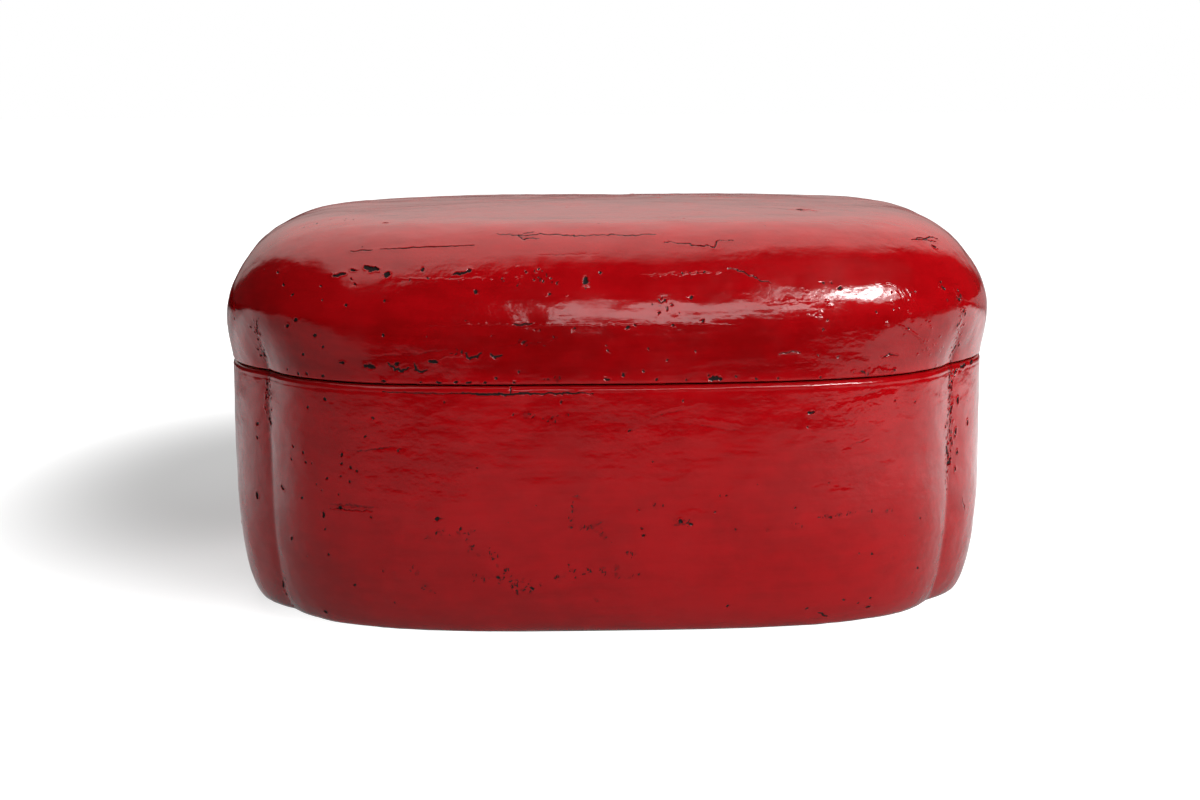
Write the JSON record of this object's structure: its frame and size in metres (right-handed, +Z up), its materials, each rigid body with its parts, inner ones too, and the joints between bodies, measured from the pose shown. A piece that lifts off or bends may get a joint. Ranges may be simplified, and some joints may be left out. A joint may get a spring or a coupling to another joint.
{
  "type": "lacquer box",
  "caption": "Four-lobed red lacquer box on a wood core, with a domed lid that lifts off over an inner lip.",
  "frame": {"origin": "middle of the base, on the plane the box stands on", "axes": "+Z up, +X along the width to the right, -Y towards the front"},
  "size_m": [0.3326, 0.222, 0.1709],
  "materials": {
    "red_lacquer": "thick polished red lacquer, hand-rubbed and slightly uneven, with small dark chips",
    "dark_lacquer": "thin brown-black lacquer, satin",
    "wood_core": "bare planed softwood",
    "bamboo": "split bamboo, whittled round"
  },
  "bodies": {
    "box_body": {"base_board": "wood_core", "body_wall_front": "wood_core", "body_wall_back": "wood_core", "body_wall_left": "wood_core", "body_wall_right": "wood_core", "lip_front": "dark_lacquer", "lip_back": "dark_lacquer", "lip_left": "dark_lacquer", "lip_right": "dark_lacquer", "body_lacquer_coat": "red_lacquer", "body_lining": "dark_lacquer", "base_pin_1": "bamboo", "base_pin_2": "bamboo", "base_pin_3": "bamboo", "base_pin_4": "bamboo", "base_pin_5": "bamboo", "base_pin_6": "bamboo", "base_pin_7": "bamboo", "base_pin_8": "bamboo"},
    "lid": {"lid_top_board": "wood_core", "lid_wall_front": "wood_core", "lid_wall_back": "wood_core", "lid_wall_left": "wood_core", "lid_wall_right": "wood_core", "lid_lacquer_coat": "red_lacquer", "lid_lining": "dark_lacquer", "lid_pin_1": "bamboo", "lid_pin_2": "bamboo", "lid_pin_3": "bamboo", "lid_pin_4": "bamboo", "lid_pin_5": "bamboo", "lid_pin_6": "bamboo", "lid_pin_7": "bamboo", "lid_pin_8": "bamboo"}
  },
  "joints": [
    {"name": "lid_lift", "type": "slide", "parent": "box_body", "child": "lid", "axis": [0, 0, 1], "range_m": [0, 0.2]}
  ]
}
